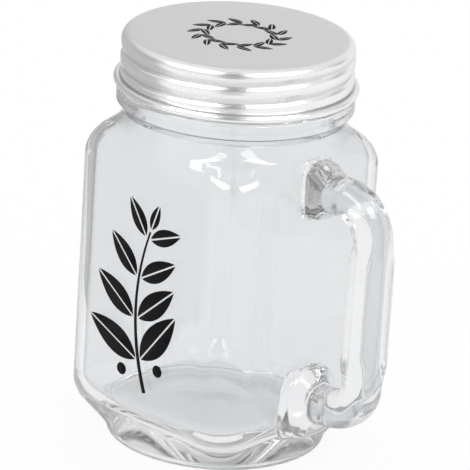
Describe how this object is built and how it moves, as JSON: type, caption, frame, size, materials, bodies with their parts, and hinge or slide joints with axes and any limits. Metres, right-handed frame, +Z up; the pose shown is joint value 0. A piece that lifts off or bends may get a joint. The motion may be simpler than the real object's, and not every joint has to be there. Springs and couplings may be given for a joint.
{
  "type": "glass jar with handle and screw lid",
  "caption": "Clear glass jar with a square body, round threaded neck, side handle and aluminium screw lid with a foam liner, for yogurt or drinks.",
  "frame": {"origin": "on the jar's axis, on the flat face that the jar stands on", "axes": "+Z up along the jar's axis to the lid, +X out through the handle, -Y out of the decorated panel"},
  "size_m": [0.0996, 0.0732, 0.1262],
  "materials": {
    "jar_glass": "clear, fire polished",
    "handle_glass": "clear, fire polished",
    "lid_aluminium": "brushed top, bright rolled skirt",
    "liner_foam": "matte foam"
  },
  "bodies": {
    "jar": {"jar": "jar_glass", "handle": "handle_glass"},
    "liner": {"lid_liner": "liner_foam"},
    "lid": {"lid": "lid_aluminium"}
  },
  "joints": [
    {"name": "lid_lift", "type": "slide", "parent": "jar", "child": "liner", "axis": [0, 0, 1], "range_m": [0, 0.04]},
    {"name": "lid_turn", "type": "hinge", "parent": "liner", "child": "lid", "pos_m": [0, 0, 0.1262], "axis": [0, 0, 1], "range_deg": [0, 360]}
  ]
}
